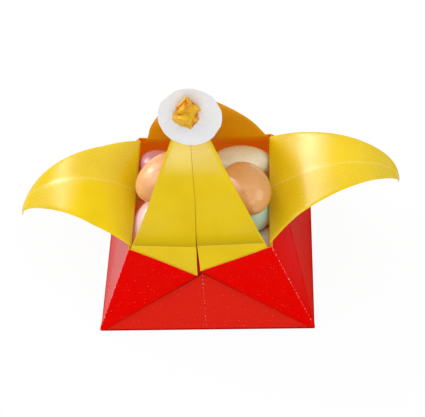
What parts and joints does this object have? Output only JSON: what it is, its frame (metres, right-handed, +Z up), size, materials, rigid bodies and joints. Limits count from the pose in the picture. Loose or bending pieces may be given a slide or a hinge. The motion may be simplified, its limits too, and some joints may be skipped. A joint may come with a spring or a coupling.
{
  "type": "origami favour basket",
  "caption": "Folded red and yellow paper box whose front and back horns meet as a handle with a paper daisy, side horns curled out, full of sugared almonds.",
  "frame": {"origin": "centre of the underside of the box's base", "axes": "+Z up, -Y towards the front with the daisy, +X to the viewer's right"},
  "size_m": [0.1481, 0.084, 0.0928],
  "materials": {
    "folded_paper": "satin, red outside and yellow inside",
    "white_paper": "matte",
    "amber_paper": "satin",
    "sugar_pink": "smooth sugar shell",
    "sugar_peach": "smooth sugar shell",
    "sugar_cream": "smooth sugar shell",
    "sugar_mint": "smooth sugar shell",
    "sugar_white": "smooth sugar shell"
  },
  "bodies": {
    "root": {"paper_basket": "folded_paper", "paper_disc": "white_paper", "paper_wad": "amber_paper", "almond_pink_back": "sugar_pink", "almond_peach_left": "sugar_peach", "almond_pink_front": "sugar_pink", "almond_cream_back": "sugar_cream", "almond_peach_right": "sugar_peach", "almond_mint_front": "sugar_mint", "almond_middle_1": "sugar_cream", "almond_middle_2": "sugar_peach", "almond_middle_3": "sugar_white", "almond_middle_4": "sugar_white", "almond_middle_5": "sugar_pink", "almond_middle_6": "sugar_mint", "almond_floor_1": "sugar_pink", "almond_floor_2": "sugar_white", "almond_floor_3": "sugar_mint", "almond_floor_4": "sugar_peach", "almond_floor_5": "sugar_mint", "almond_floor_6": "sugar_peach", "almond_floor_7": "sugar_pink", "almond_floor_8": "sugar_cream", "almond_floor_9": "sugar_cream", "almond_floor_10": "sugar_mint", "almond_floor_11": "sugar_white", "almond_floor_12": "sugar_pink"}
  },
  "joints": []
}
